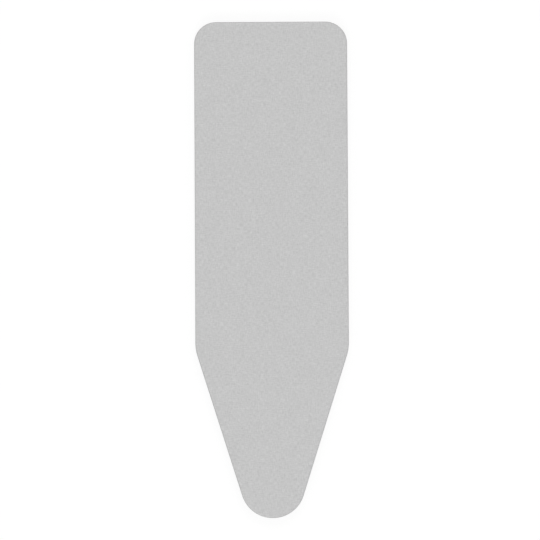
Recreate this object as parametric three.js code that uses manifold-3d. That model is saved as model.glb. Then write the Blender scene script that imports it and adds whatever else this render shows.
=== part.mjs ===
// Ironing board cover: a metallised cotton cover over a foam and a felt layer. An elastic cord in the
// bound hem draws it tight under the board, a cord lock grips the cord's two ends, and two elastic straps
// hook onto the hem.
// Millimetres, +Z up. The ironing face looks to +Z, the square end points to +Y and the nose to -Y.
// The origin is the middle of the plan outline, on the surface that the cover rests on.

import * as THREE from "three";
import { mergeVertices } from "three/addons/utils/BufferGeometryUtils.js";
import Module from "manifold-3d";

// Plan outline of the fitted cover
const COVER_LENGTH = 1244;
const COVER_WIDTH = 385; // across the shoulders, where it is widest
const SIDE_SPREAD = 1.6; // how much wider the shoulders are than the square end
const SHOULDER_FROM_END = 821; // from the square end to where the taper starts
const CORNER_RADIUS = 55;
const SHOULDER_RADIUS = 110;
const NOSE_RADIUS = 81;

// Layers
const FABRIC = 0.8;
const FOAM = 4;
const FELT = 4;
const LAYER_GAP = 0.3; // between pieces that lie on each other
const BOARD_ROOM = 16; // clear height for the board, from the hooks to the felt

// Edge and underside of the cover
const EDGE_RADIUS = 7; // where the top turns down into the side
const RIM_RADIUS = 6; // where the side turns in under the board
const RIM_FLAT = 10; // width of the flat band that the cover rests on
const HEM_INSET = 58; // from the outline to the inner edge of the bound hem
const HEM_CORNER_RADIUS = 30; // of the hem's inner edge, which the cord draws across the corners
const HEM_HEIGHT = 10.6; // middle of the hem above the resting surface
const HEM_LEVEL_RUN = 4; // level fabric outside the binding

// Binding and elastic cord
const TAPE = 0.8;
const BINDING_WIDTH = 16;
const TAPE_JOIN_FROM_END = 110; // from the square end to where the tape round a corner meets the long one
const CORD_RADIUS = 1.5;
const CORD_CLEARANCE = 0.3;
const CORD_LEAD = 2; // straight cord between the binding's end and the turn towards the lock
const CORD_TURN_RADIUS = 16;
const CORD_LEVEL_SHARE = 0.65; // share of that turn in which the cord drops to its level in the lock
const CORD_TAIL = 78; // straight length of each cord end, from the turn to the knot

// Cord lock
const LOCK_DEPTH = 17; // along the cord
const LOCK_WALL = 2.2;
const LOCK_CORNER_RADIUS = 4;
const LOCK_LEAST_RADIUS = 0.5;
const LOCK_LEAD = 4; // straight cord between the turn and the lock
const LOCK_CLEARANCE = 0.3;
const PLUNGER_TRAVEL = 3.5;
const PLUNGER_WALL = 1.05; // above and below the cord slot
const PLUNGER_END = 2.4; // between the cord slot and the spring
const PLUNGER_STEM = 3.4; // of the plunger inside the barrel, past the cord slot
const BUTTON_LENGTH = 5;
const BUTTON_RIM = 1; // how far the button stands back from the barrel's outside
const SPRING_LENGTH = 7.2;
const SPRING_TURNS = 4.5;
const SPRING_WIRE_RADIUS = 0.35;
const SPRING_SIDE_CLEARANCE = 1.2;

// Knot that ties the two cord ends
const KNOT_LENGTH = 11;
const KNOT_MARGIN = 0.3; // of the knot's face round the two cords
const KNOT_SWELL = 2.9; // of the knot's middle over its face

// Elastic straps and their hooks
const WIDE_END_STRAP_FROM_END = 310;
const SHOULDER_STRAP_FROM_SHOULDER = 141;
const STRAP = 1.2;
const STRAP_WIDTH = 25;
const STRAP_FOLD_BACK = 24; // sewn length of the end that is folded back
const STRAP_FOLD_RISE = 5; // length in which the folded end comes up to the strap
const STRAP_GAP = 0.3;
const HOOK = 1.6; // thickness of the hook's jaws and lips
const HOOK_SIDE = 3; // beside each end of the strap slot
const HOOK_GAP = 0.3;
const HOOK_LIP_CLEARANCE = 0.5; // behind the cord's bulge
const HOOK_TONGUE = 8; // from the hem to the strap slot
const HOOK_SLOT = 2.1;
const HOOK_SLOT_SIDE_CLEARANCE = 0.5;
const HOOK_BAR = 3;

// Steps of the round stretches
const CORNER_STEPS = 8;
const SHOULDER_STEPS = 3;
const NOSE_STEPS = 10;
const EDGE_STEPS = 5;
const SLOPE_STEPS = 5;
const BULGE_STEPS = 10;
const POCKET_STEPS = 8;
const CORD_SIDES = 8;
const CORD_TURN_STEPS = 8;
const BEND_STEPS = 4;
const LOCK_CORNER_STEPS = 4;
const SPRING_SIDES = 6;
const SPRING_STEPS_PER_TURN = 8;
const KNOT_SIDES = 16;
const KNOT_STEPS = 6;
const MERGE_DISTANCE = 1e-4; // below which the corners of a solid are one

// Levels that follow from the sizes above
const POCKET_RADIUS = CORD_RADIUS + CORD_CLEARANCE;
const BULGE_RADIUS = POCKET_RADIUS + TAPE;
const CORD_INSET = HEM_INSET - BULGE_RADIUS;
const BINDING_INSET = HEM_INSET - BINDING_WIDTH;
const FABRIC_END = CORD_INSET - POCKET_RADIUS - CORD_CLEARANCE;
const RIM_INSET = RIM_RADIUS + RIM_FLAT;
const HOOK_TOP = HEM_HEIGHT + BULGE_RADIUS + HOOK_GAP + HOOK;
const FELT_BOTTOM = HOOK_TOP + BOARD_ROOM;
const FELT_TOP = FELT_BOTTOM + FELT;
const FOAM_BOTTOM = FELT_TOP + LAYER_GAP;
const FOAM_TOP = FOAM_BOTTOM + FOAM;
const COVER_HEIGHT = FOAM_TOP + LAYER_GAP + FABRIC;

const wasm = await Module();
wasm.setup();

// Materials

function finish(colour, roughness, metalness = 0) {
  return new THREE.MeshStandardMaterial({ color: colour, roughness, metalness });
}

const metallisedCotton = finish(0xc5c5c5, 0.45, 0.4);
const foamFinish = finish(0xe9e4d6, 0.95);
const feltFinish = finish(0xd9d7d2, 0.95);
const tapeFinish = finish(0xe8e8e6, 0.85);
const cordFinish = finish(0xf1f1ee, 0.8);
const lockFinish = finish(0x3a3c3f, 0.45);
const buttonFinish = finish(0x4a4c50, 0.4);
const steelFinish = finish(0xb8babd, 0.3, 1);
const strapFinish = finish(0xeeeeea, 0.85);
const hookFinish = finish(0xe4e4e1, 0.45);

// Solids from rings of points

function signedArea(outline, [a, b, c]) {
  const u = outline[b].clone().sub(outline[a]);
  const v = outline[c].clone().sub(outline[a]);
  return u.cross(v);
}

// Triangles that fill an outline, all turning the way that the outline runs, or all the other way.
function fill(outline, offset, sameWay) {
  const runs = Math.sign(THREE.ShapeUtils.area(outline)) * (sameWay ? 1 : -1);
  return THREE.ShapeUtils.triangulateShape(outline, []).flatMap((triangle) => {
    const [a, b, c] = triangle.map((i) => i + offset);
    return Math.sign(signedArea(outline, triangle)) === runs ? [a, b, c] : [a, c, b];
  });
}

// A closed solid through rings of equally many points. Its end faces are filled as the two outlines are.
function loft(rings, firstOutline, lastOutline) {
  const count = rings[0].length;
  const index = fill(firstOutline, 0, false);
  for (let ring = 0; ring + 1 < rings.length; ring++) {
    for (let i = 0; i < count; i++) {
      const a = ring * count + i;
      const b = ring * count + ((i + 1) % count);
      index.push(a, b, b + count, a, b + count, a + count);
    }
  }
  index.push(...fill(lastOutline, (rings.length - 1) * count, true));
  const geometry = new THREE.BufferGeometry().setFromPoints(rings.flat());
  geometry.setIndex(index);
  return facingOut(geometry);
}

function facingOut(geometry) {
  const index = geometry.index.array;
  const position = geometry.attributes.position;
  const corner = (i) => new THREE.Vector3().fromBufferAttribute(position, index[i]);
  let volume = 0;
  for (let i = 0; i < index.length; i += 3) {
    volume += corner(i).dot(corner(i + 1).cross(corner(i + 2)));
  }
  if (volume < 0) {
    geometry.setIndex(Array.from(index).reverse());
  }
  return geometry;
}

// Booleans

function solidOf(geometry) {
  const bare = geometry.clone();
  bare.deleteAttribute("normal");
  bare.deleteAttribute("uv");
  const merged = mergeVertices(bare, MERGE_DISTANCE);
  return new wasm.Manifold(
    new wasm.Mesh({
      numProp: 3,
      vertProperties: new Float32Array(merged.attributes.position.array),
      triVerts: new Uint32Array(merged.index.array),
    }),
  );
}

function geometryOf(solid) {
  const mesh = solid.getMesh();
  const geometry = new THREE.BufferGeometry();
  geometry.setAttribute("position", new THREE.BufferAttribute(mesh.vertProperties, 3));
  geometry.setIndex(new THREE.BufferAttribute(mesh.triVerts, 1));
  return geometry;
}

function cut(geometry, ...tools) {
  return geometryOf(tools.reduce((solid, tool) => solid.subtract(solidOf(tool)), solidOf(geometry)));
}

function join(geometry, other) {
  return geometryOf(solidOf(geometry).add(solidOf(other)));
}

// Plan outline

const squareEndY = COVER_LENGTH / 2;
const shoulderPoint = new THREE.Vector2(COVER_WIDTH / 2, squareEndY - SHOULDER_FROM_END);
const endCornerPoint = new THREE.Vector2((COVER_WIDTH - SIDE_SPREAD) / 2, squareEndY);
const noseCentre = new THREE.Vector2(0, NOSE_RADIUS - COVER_LENGTH / 2);

// Headings, in radians from +X, along the square end, a side and a taper, all going round to the nose.
const endHeading = 0;
const sideHeading = shoulderPoint.clone().sub(endCornerPoint).angle() - 2 * Math.PI;
const toNose = noseCentre.clone().sub(shoulderPoint);
const taperHeading = toNose.angle() - 2 * Math.PI + Math.asin(NOSE_RADIUS / toNose.length());
const noseHeading = -Math.PI;

const along = (heading) => new THREE.Vector2(Math.cos(heading), Math.sin(heading));
const inward = (heading) => new THREE.Vector2(Math.sin(heading), -Math.cos(heading));

// The hem's corners are rounder than the outline's at its inset: the cord is drawn tight across them.
function cornerRadiusAt(inset) {
  const rimCorner = CORNER_RADIUS - Math.min(inset, RIM_INSET);
  const hemCorner = HEM_CORNER_RADIUS + HEM_INSET - Math.max(inset, BINDING_INSET);
  const share = THREE.MathUtils.clamp((inset - RIM_INSET) / (BINDING_INSET - RIM_INSET), 0, 1);
  return THREE.MathUtils.lerp(rimCorner, hemCorner, share);
}

// Points of a right-hand turn about a centre, from one heading to another.
function turn(centre, radius, from, to, steps) {
  return Array.from({ length: steps + 1 }, (_, i) => {
    const heading = THREE.MathUtils.lerp(from, to, i / steps);
    return centre.clone().addScaledVector(inward(heading), -radius);
  });
}

// Centre of the turn of a radius between two lines, each a point on it and its heading.
function turnCentre(pointA, headingA, pointB, headingB, radius) {
  const a = pointA.clone().addScaledVector(inward(headingA), radius);
  const b = pointB.clone().addScaledVector(inward(headingB), radius);
  const across = along(headingA).cross(along(headingB));
  const reach = b.sub(a).cross(along(headingB)) / across;
  return a.addScaledVector(along(headingA), reach);
}

// Half of the outline at an inset: from the middle of the square end round the +X side to the nose's tip.
function halfOutline(inset) {
  const onEnd = new THREE.Vector2(0, squareEndY - inset);
  const onSide = shoulderPoint.clone().addScaledVector(inward(sideHeading), inset);
  const onTaper = shoulderPoint.clone().addScaledVector(inward(taperHeading), inset);
  const corner = cornerRadiusAt(inset);
  const shoulder = SHOULDER_RADIUS - inset;
  const cornerCentre = turnCentre(onEnd, endHeading, onSide, sideHeading, corner);
  const shoulderCentre = turnCentre(onSide, sideHeading, onTaper, taperHeading, shoulder);
  return [
    onEnd,
    ...turn(cornerCentre, corner, endHeading, sideHeading, CORNER_STEPS),
    ...turn(shoulderCentre, shoulder, sideHeading, taperHeading, SHOULDER_STEPS),
    ...turn(noseCentre, NOSE_RADIUS - inset, taperHeading, noseHeading, NOSE_STEPS),
  ];
}

const mirrored = (point) => new THREE.Vector2(-point.x, point.y);

function outline(inset) {
  const half = halfOutline(inset);
  return [...half, ...half.slice(1, -1).reverse().map(mirrored)];
}

// Half of the hem's line at an inset. It starts beside the gap at the square end, where the cord comes out.
function halfHem(inset) {
  const half = halfOutline(inset);
  half[0].x = CORD_TURN_RADIUS + CORD_LEAD;
  return half;
}

// A half line that ends on the middle, and its mirror image back again.
const bothSides = (half) => [...half, ...half.slice(0, -1).reverse().map(mirrored)];

function halfWidthAt(y) {
  const share = (squareEndY - y) / SHOULDER_FROM_END;
  return THREE.MathUtils.lerp(endCornerPoint.x, shoulderPoint.x, share);
}

function ring(inset, height) {
  return outline(inset).map((p) => new THREE.Vector3(p.x, p.y, height));
}

// Cover and layers

const steps = (count) => Array.from({ length: count + 1 }, (_, i) => i / count);

// Section of the fabric as [inset, height], from the ironing face round the edge to the hem. The inner face
// lies one thickness inside the outer one.
function fabricSection(thickness) {
  const edgeCentre = COVER_HEIGHT - EDGE_RADIUS;
  const edge = steps(EDGE_STEPS).map((share) => {
    const angle = (share * Math.PI) / 2;
    const radius = EDGE_RADIUS - thickness;
    return [EDGE_RADIUS - radius * Math.sin(angle), edgeCentre + radius * Math.cos(angle)];
  });
  const rim = steps(EDGE_STEPS).map((share) => {
    const angle = (share * Math.PI) / 2;
    const radius = RIM_RADIUS - thickness;
    return [RIM_RADIUS - radius * Math.cos(angle), RIM_RADIUS - radius * Math.sin(angle)];
  });
  const hemFace = HEM_HEIGHT - FABRIC / 2 + thickness;
  const slope = steps(SLOPE_STEPS).map((share) => [
    THREE.MathUtils.lerp(RIM_INSET, BINDING_INSET - HEM_LEVEL_RUN, share),
    THREE.MathUtils.lerp(thickness, hemFace, THREE.MathUtils.smoothstep(share, 0, 1)),
  ]);
  return [...edge, ...rim, ...slope, [FABRIC_END, hemFace]];
}

function topCover() {
  const section = [...fabricSection(0), ...fabricSection(FABRIC).reverse()];
  const rings = section.map(([inset, height]) => ring(inset, height));
  return loft(rings, outline(EDGE_RADIUS), outline(EDGE_RADIUS));
}

// Inset of a layer's side at a height, a layer gap inside the fabric.
function layerInset(height) {
  const side = FABRIC + LAYER_GAP;
  const above = Math.max(0, height - (COVER_HEIGHT - EDGE_RADIUS));
  const radius = EDGE_RADIUS - side;
  return EDGE_RADIUS - Math.sqrt(Math.max(0, radius ** 2 - above ** 2));
}

function layer(bottom, top) {
  const heights = steps(EDGE_STEPS).map((share) => {
    return THREE.MathUtils.lerp(bottom, top, Math.sin((share * Math.PI) / 2));
  });
  const rings = heights.map((height) => ring(layerInset(height), height));
  return loft(rings, outline(layerInset(bottom)), outline(layerInset(top)));
}

// Hem

function arc(centre, radius, from, to, count) {
  return steps(count).map((share) => {
    const angle = THREE.MathUtils.lerp(from, to, share);
    return new THREE.Vector2(centre.x + radius * Math.cos(angle), centre.y + radius * Math.sin(angle));
  });
}

// Folded tape along a line at each inset: two legs that hold the fabric's edge between them, and a round fold
// that holds the cord.
function hemTape(lineAt) {
  const centre = new THREE.Vector2(CORD_INSET, HEM_HEIGHT);
  const legInside = FABRIC / 2 + LAYER_GAP;
  const legOutside = legInside + TAPE;
  const bulgeAngle = Math.PI - Math.asin(legOutside / BULGE_RADIUS);
  const pocketAngle = Math.PI - Math.asin(legInside / POCKET_RADIUS);
  const profile = [
    new THREE.Vector2(BINDING_INSET, HEM_HEIGHT - legOutside),
    ...arc(centre, BULGE_RADIUS, -bulgeAngle, bulgeAngle, BULGE_STEPS),
    new THREE.Vector2(BINDING_INSET, HEM_HEIGHT + legOutside),
    new THREE.Vector2(BINDING_INSET, HEM_HEIGHT + legInside),
    ...arc(centre, POCKET_RADIUS, pocketAngle, -pocketAngle, POCKET_STEPS),
    new THREE.Vector2(BINDING_INSET, HEM_HEIGHT - legInside),
  ];
  const lines = profile.map((p) => lineAt(p.x).map((q) => new THREE.Vector3(q.x, q.y, p.y)));
  const rings = lines[0].map((_, station) => lines.map((line) => line[station]));
  return loft(rings, profile, profile);
}

// The tape is in three lengths: one round each corner of the square end, and a long one round the nose.
const tapeJoinY = squareEndY - TAPE_JOIN_FROM_END;

function hemOnSide(inset, y) {
  return new THREE.Vector2(halfWidthAt(y) - inset, y);
}

function cornerTapeLine(inset) {
  return [...halfHem(inset).slice(0, CORNER_STEPS + 2), hemOnSide(inset, tapeJoinY + LAYER_GAP / 2)];
}

function longTapeLine(inset) {
  return bothSides([hemOnSide(inset, tapeJoinY - LAYER_GAP / 2), ...halfHem(inset).slice(CORNER_STEPS + 2)]);
}

const cordLineY = squareEndY - CORD_INSET;
const tailStartY = cordLineY - CORD_TURN_RADIUS;
const knotFaceY = tailStartY - CORD_TAIL;
const cordStackOffset = CORD_RADIUS + CORD_CLEARANCE / 2; // of each cord end from the lock's middle
const slotHeight = 2 * (cordStackOffset + CORD_RADIUS + CORD_CLEARANCE);
const stemHeight = slotHeight + 2 * PLUNGER_WALL;
const cavityHeight = stemHeight + 2 * LOCK_CLEARANCE;
const lockHeight = cavityHeight + 2 * LOCK_WALL;
const lockY = tailStartY - LOCK_LEAD - LOCK_DEPTH / 2;
const lockZ = lockHeight / 2 + LAYER_GAP;

// One end of the cord, from the knot up through the lock and round to the mouth of the binding.
function cordEnd(side) {
  const level = lockZ - side * cordStackOffset;
  const turnPoints = steps(CORD_TURN_STEPS).map((share) => {
    const angle = (share * Math.PI) / 2;
    const rise = THREE.MathUtils.smoothstep(share, 1 - CORD_LEVEL_SHARE, 1);
    return new THREE.Vector3(
      side * CORD_TURN_RADIUS * (1 - Math.cos(angle)),
      tailStartY + CORD_TURN_RADIUS * Math.sin(angle),
      THREE.MathUtils.lerp(level, HEM_HEIGHT, rise),
    );
  });
  return [new THREE.Vector3(0, knotFaceY + CORD_CLEARANCE, level), ...turnPoints];
}

// A round rod along points that nowhere run straight up.
function rod(points, radius, sides) {
  const section = Array.from({ length: sides }, (_, i) => {
    const angle = (2 * Math.PI * (i + 0.5)) / sides;
    return new THREE.Vector2(radius * Math.cos(angle), radius * Math.sin(angle));
  });
  const up = new THREE.Vector3(0, 0, 1);
  const rings = points.map((point, i) => {
    const before = points[Math.max(i - 1, 0)];
    const after = points[Math.min(i + 1, points.length - 1)];
    const tangent = after.clone().sub(before).normalize();
    const sideways = tangent.clone().cross(up).normalize();
    const upright = sideways.clone().cross(tangent);
    return section.map((s) => point.clone().addScaledVector(sideways, s.x).addScaledVector(upright, s.y));
  });
  return loft(rings, section, section);
}

function drawCord() {
  const inHem = bothSides(halfHem(CORD_INSET)).map((p) => new THREE.Vector3(p.x, p.y, HEM_HEIGHT));
  return rod([...cordEnd(1), ...inHem, ...cordEnd(-1).reverse()], CORD_RADIUS, CORD_SIDES);
}

function cordKnot() {
  const faceRadius = cordStackOffset + CORD_RADIUS + KNOT_MARGIN;
  const profile = steps(KNOT_STEPS).map((share) => {
    const radius = faceRadius + KNOT_SWELL * Math.sin(share * Math.PI);
    return new THREE.Vector2(radius, (share - 1) * KNOT_LENGTH);
  });
  const closed = [new THREE.Vector2(0, -KNOT_LENGTH), ...profile, new THREE.Vector2(0, 0)];
  return new THREE.LatheGeometry(closed, KNOT_SIDES).translate(0, knotFaceY, lockZ);
}

// Cord lock. Its barrel lies along X, and the plunger's button points to +X.

const slotHalf = CORD_RADIUS + CORD_CLEARANCE; // from the middle of the cord to the slot's wall
const plungerSlotEnd = slotHalf + PLUNGER_TRAVEL;
const plungerInnerEnd = -slotHalf - PLUNGER_END;
const barrelMouth = plungerSlotEnd + PLUNGER_STEM;
const springFloor = plungerInnerEnd - SPRING_LENGTH;
const barrelEnd = springFloor - LOCK_WALL;
const buttonStart = barrelMouth + PLUNGER_TRAVEL + LOCK_CLEARANCE;

function roundedRectangle(width, height, radius) {
  const x = width / 2 - radius;
  const y = height / 2 - radius;
  return new THREE.Shape()
    .absarc(x, y, radius, 0, Math.PI / 2)
    .absarc(-x, y, radius, Math.PI / 2, Math.PI)
    .absarc(-x, -y, radius, Math.PI, 1.5 * Math.PI)
    .absarc(x, -y, radius, 1.5 * Math.PI, 2 * Math.PI);
}

// A bar of the lock along X, a distance in from the barrel's outside all round.
function lockBar(from, to, inset) {
  const radius = Math.max(LOCK_CORNER_RADIUS - inset, LOCK_LEAST_RADIUS);
  const shape = roundedRectangle(LOCK_DEPTH - 2 * inset, lockHeight - 2 * inset, radius);
  const bar = new THREE.ExtrudeGeometry(shape, {
    depth: to - from,
    bevelEnabled: false,
    curveSegments: LOCK_CORNER_STEPS,
  });
  const axes = new THREE.Matrix4().makeBasis(
    new THREE.Vector3(0, 1, 0),
    new THREE.Vector3(0, 0, 1),
    new THREE.Vector3(1, 0, 0),
  );
  return bar.applyMatrix4(axes).translate(from, lockY, lockZ);
}

function cordSlot(from, to) {
  const slot = new THREE.BoxGeometry(to - from, 2 * LOCK_DEPTH, slotHeight);
  return slot.translate((from + to) / 2, lockY, lockZ);
}

function lockBody() {
  const barrel = lockBar(barrelEnd, barrelMouth, 0);
  const cavity = lockBar(springFloor, barrelMouth + LOCK_WALL, LOCK_WALL);
  return cut(barrel, cavity, cordSlot(-slotHalf, slotHalf));
}

function lockPlunger() {
  const stem = lockBar(plungerInnerEnd, buttonStart + BUTTON_LENGTH / 2, LOCK_WALL + LOCK_CLEARANCE);
  const button = lockBar(buttonStart, buttonStart + BUTTON_LENGTH, BUTTON_RIM);
  return cut(join(stem, button), cordSlot(-slotHalf, plungerSlotEnd));
}

class SpringLine extends THREE.Curve {
  constructor(from, to, radius, turns) {
    super();
    Object.assign(this, { from, to, radius, turns });
  }
  getPoint(share, point = new THREE.Vector3()) {
    const angle = 2 * Math.PI * this.turns * share;
    const x = THREE.MathUtils.lerp(this.from, this.to, share);
    return point.set(x, this.radius * Math.cos(angle), this.radius * Math.sin(angle));
  }
}

function lockSpring() {
  const seat = SPRING_WIRE_RADIUS + LOCK_CLEARANCE;
  const coilRadius = cavityHeight / 2 - SPRING_SIDE_CLEARANCE - SPRING_WIRE_RADIUS;
  const line = new SpringLine(springFloor + seat, plungerInnerEnd - seat, coilRadius, SPRING_TURNS);
  const wire = new THREE.Shape().absarc(0, 0, SPRING_WIRE_RADIUS, 0, 2 * Math.PI);
  const spring = new THREE.ExtrudeGeometry(wire, {
    extrudePath: line,
    steps: Math.round(SPRING_TURNS * SPRING_STEPS_PER_TURN),
    curveSegments: SPRING_SIDES,
  });
  return spring.translate(0, lockY, lockZ);
}

// Straps and hooks. A hook's section is drawn as [run, height]: the run goes in from the hem's inner edge.

const jawReach = BULGE_RADIUS + HOOK_GAP; // from the middle of the hem to the inside of each jaw
const plateTop = HEM_HEIGHT - jawReach;
const plateBottom = plateTop - HOOK;
const lipInside = -2 * BULGE_RADIUS - HOOK_LIP_CLEARANCE;
const lipOutside = lipInside - HOOK;
const lipReach = FABRIC / 2 + LAYER_GAP + TAPE + HOOK_GAP; // from the middle of the hem to each lip
const slotStart = HOOK_GAP + HOOK_TONGUE;
const barStart = slotStart + HOOK_SLOT;
const barEnd = barStart + HOOK_BAR;

// A flat section in the XZ plane, given a width along Y.
function acrossY(shape, width) {
  const geometry = new THREE.ExtrudeGeometry(shape, { depth: width, bevelEnabled: false });
  return geometry.rotateX(Math.PI / 2).translate(0, width / 2, 0);
}

// Two jaws round the cord's bulge, with lips behind it, and a plate with the slot and bar for the strap.
function strapHook() {
  const section = new THREE.Shape([
    new THREE.Vector2(lipOutside, plateBottom),
    new THREE.Vector2(barEnd, plateBottom),
    new THREE.Vector2(barEnd, plateTop),
    new THREE.Vector2(HOOK_GAP + HOOK, plateTop),
    new THREE.Vector2(HOOK_GAP + HOOK, HOOK_TOP),
    new THREE.Vector2(lipOutside, HOOK_TOP),
    new THREE.Vector2(lipOutside, HEM_HEIGHT + lipReach),
    new THREE.Vector2(lipInside, HEM_HEIGHT + lipReach),
    new THREE.Vector2(lipInside, HEM_HEIGHT + jawReach),
    new THREE.Vector2(HOOK_GAP, HEM_HEIGHT + jawReach),
    new THREE.Vector2(HOOK_GAP, plateTop),
    new THREE.Vector2(lipInside, plateTop),
    new THREE.Vector2(lipInside, HEM_HEIGHT - lipReach),
    new THREE.Vector2(lipOutside, HEM_HEIGHT - lipReach),
  ]);
  const slotLength = STRAP_WIDTH + 2 * HOOK_SLOT_SIDE_CLEARANCE;
  const hookWidth = slotLength + 2 * HOOK_SIDE;
  const slot = new THREE.BoxGeometry(HOOK_SLOT, slotLength, 3 * HOOK);
  slot.translate(slotStart + HOOK_SLOT / 2, 0, (plateTop + plateBottom) / 2);
  return cut(acrossY(section, hookWidth), slot);
}

// Middle line of a strap's end as [run, height]: folded back, under the bar, up the slot and over the bar.
function strapEndLine() {
  const off = STRAP_GAP + STRAP / 2;
  const bandHeight = plateTop + off;
  const foldHeight = bandHeight - STRAP - STRAP_GAP;
  const riseStart = barEnd + off;
  const riseEnd = riseStart + STRAP_FOLD_RISE;
  const lowerCorner = new THREE.Vector2(barStart, plateBottom);
  const upperCorner = new THREE.Vector2(barStart, plateTop);
  return [
    new THREE.Vector2(riseEnd + STRAP_FOLD_BACK, foldHeight),
    new THREE.Vector2(riseEnd, foldHeight),
    new THREE.Vector2(riseStart, plateBottom - off),
    ...arc(lowerCorner, off, 1.5 * Math.PI, Math.PI, BEND_STEPS),
    ...arc(upperCorner, off, Math.PI, Math.PI / 2, BEND_STEPS),
  ];
}

// Outline of a band of one thickness along a line.
function band(line, thickness) {
  const offsets = line.map((point, i) => {
    const before = point.clone().sub(line[Math.max(i - 1, 0)]).normalize();
    const after = line[Math.min(i + 1, line.length - 1)].clone().sub(point).normalize();
    const tangent = before.clone().add(after).normalize();
    const across = new THREE.Vector2(-tangent.y, tangent.x);
    const reach = i > 0 && i < line.length - 1 ? across.dot(new THREE.Vector2(-after.y, after.x)) : 1;
    return across.multiplyScalar(thickness / 2 / reach);
  });
  const left = line.map((point, i) => point.clone().add(offsets[i]));
  const right = line.map((point, i) => point.clone().sub(offsets[i]));
  return new THREE.Shape([...left, ...right.reverse()]);
}

function strap(hemX) {
  const end = strapEndLine();
  const rightEnd = end.map((p) => new THREE.Vector2(hemX - p.x, p.y));
  const leftEnd = end.map((p) => new THREE.Vector2(p.x - hemX, p.y)).reverse();
  return acrossY(band([...rightEnd, ...leftEnd], STRAP), STRAP_WIDTH);
}

// Assembly

const cover = new THREE.Group();

function add(name, geometry, material, parent = cover) {
  const mesh = new THREE.Mesh(geometry, material.clone());
  mesh.name = name;
  parent.add(mesh);
  return mesh;
}

add("top_cover", topCover(), metallisedCotton);
add("foam_layer", layer(FOAM_BOTTOM, FOAM_TOP), foamFinish);
add("felt_layer", layer(FELT_BOTTOM, FELT_TOP), feltFinish);
add("hem_binding", hemTape(longTapeLine), tapeFinish);
add("hem_binding_end_left", hemTape((inset) => cornerTapeLine(inset).map(mirrored)), tapeFinish);
add("hem_binding_end_right", hemTape(cornerTapeLine), tapeFinish);
add("draw_cord", drawCord(), cordFinish);
add("cord_knot", cordKnot(), cordFinish);
add("cord_lock_body", lockBody(), lockFinish);
add("cord_lock_plunger", lockPlunger(), buttonFinish);
add("cord_lock_spring", lockSpring(), steelFinish);

const strapPlaces = {
  wide_end: squareEndY - WIDE_END_STRAP_FROM_END,
  shoulder: shoulderPoint.y + SHOULDER_STRAP_FROM_SHOULDER,
};
for (const [name, strapY] of Object.entries(strapPlaces)) {
  const hemX = halfWidthAt(strapY) - HEM_INSET;
  const station = new THREE.Group();
  station.position.y = strapY;
  cover.add(station);
  add(`strap_${name}`, strap(hemX), strapFinish, station);
  add(`hook_${name}_left`, strapHook(), hookFinish, station).position.x = -hemX;
  const rightHook = add(`hook_${name}_right`, strapHook(), hookFinish, station);
  rightHook.position.x = hemX;
  rightHook.rotation.z = Math.PI;
}

export default cover;
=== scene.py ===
import bpy
from functools import lru_cache
from math import asin, atan2, cos, dist, hypot, pi, radians, sin, sqrt
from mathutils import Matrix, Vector
from mathutils.noise import noise


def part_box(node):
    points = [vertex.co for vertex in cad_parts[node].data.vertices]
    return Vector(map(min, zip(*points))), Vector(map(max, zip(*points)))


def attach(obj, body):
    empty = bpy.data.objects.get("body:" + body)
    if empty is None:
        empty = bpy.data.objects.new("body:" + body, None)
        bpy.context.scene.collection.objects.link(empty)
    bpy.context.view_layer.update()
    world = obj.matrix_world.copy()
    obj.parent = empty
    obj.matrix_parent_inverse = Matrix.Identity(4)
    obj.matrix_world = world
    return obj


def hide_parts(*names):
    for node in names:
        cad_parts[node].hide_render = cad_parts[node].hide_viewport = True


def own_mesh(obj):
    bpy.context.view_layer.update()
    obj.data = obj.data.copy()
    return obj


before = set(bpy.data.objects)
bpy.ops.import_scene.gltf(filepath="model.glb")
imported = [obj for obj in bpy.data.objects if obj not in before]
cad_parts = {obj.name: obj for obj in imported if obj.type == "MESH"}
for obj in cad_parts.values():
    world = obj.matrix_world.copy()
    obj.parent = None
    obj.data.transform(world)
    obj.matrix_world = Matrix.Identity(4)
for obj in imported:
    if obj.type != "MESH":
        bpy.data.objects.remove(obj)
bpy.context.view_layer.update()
mm = 0.001
print("frame loaded,", len(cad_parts), "nodes")


# Helpers for selecting, editing and numbers

def leaveEdit():
    bpy.ops.object.mode_set(mode="OBJECT")

def clearSelection():
    if bpy.context.object and bpy.context.object.mode != "OBJECT":
        leaveEdit()
    bpy.ops.object.select_all(action="DESELECT")

def makeActive(piece):
    clearSelection()
    piece.select_set(True)
    bpy.context.view_layer.objects.active = piece

def editWhole(piece):  # edit mode, with all of it selected
    makeActive(piece)
    bpy.ops.object.mode_set(mode="EDIT")
    bpy.ops.mesh.select_all(action="SELECT")

def modify(piece, kind, **settings):  # a modifier, set and applied
    makeActive(piece)
    step = piece.modifiers.new(kind, kind)
    for name, value in settings.items():
        setattr(step, name, value)
    bpy.ops.object.modifier_apply(modifier=step.name)

def ease(value, low=0, high=1):  # 0 to 1, soft at both ends
    share = min(1.0, max(0.0, (value - low) / (high - low)))
    return share * share * (3 - 2 * share)

def mix(a, b, share):
    return a + (b - a) * share

def shares(count):  # 0 to 1 in even steps
    return [k / count for k in range(count + 1)]

def middleOf(node):
    low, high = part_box(node)
    return (low + high) / 2


# Helpers for meshes

def meshPiece(name, points, faces):
    mesh = bpy.data.meshes.new(name)
    mesh.from_pydata(points, [], faces)
    piece = bpy.data.objects.new(name, mesh)
    bpy.context.collection.objects.link(piece)
    return piece

def closeUp(piece):  # seams and poles shut, faces outwards
    editWhole(piece)
    bpy.ops.mesh.remove_doubles(threshold=0.001 * mm)
    bpy.ops.mesh.normals_make_consistent(inside=False)
    leaveEdit()
    bpy.ops.object.shade_smooth()

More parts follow.
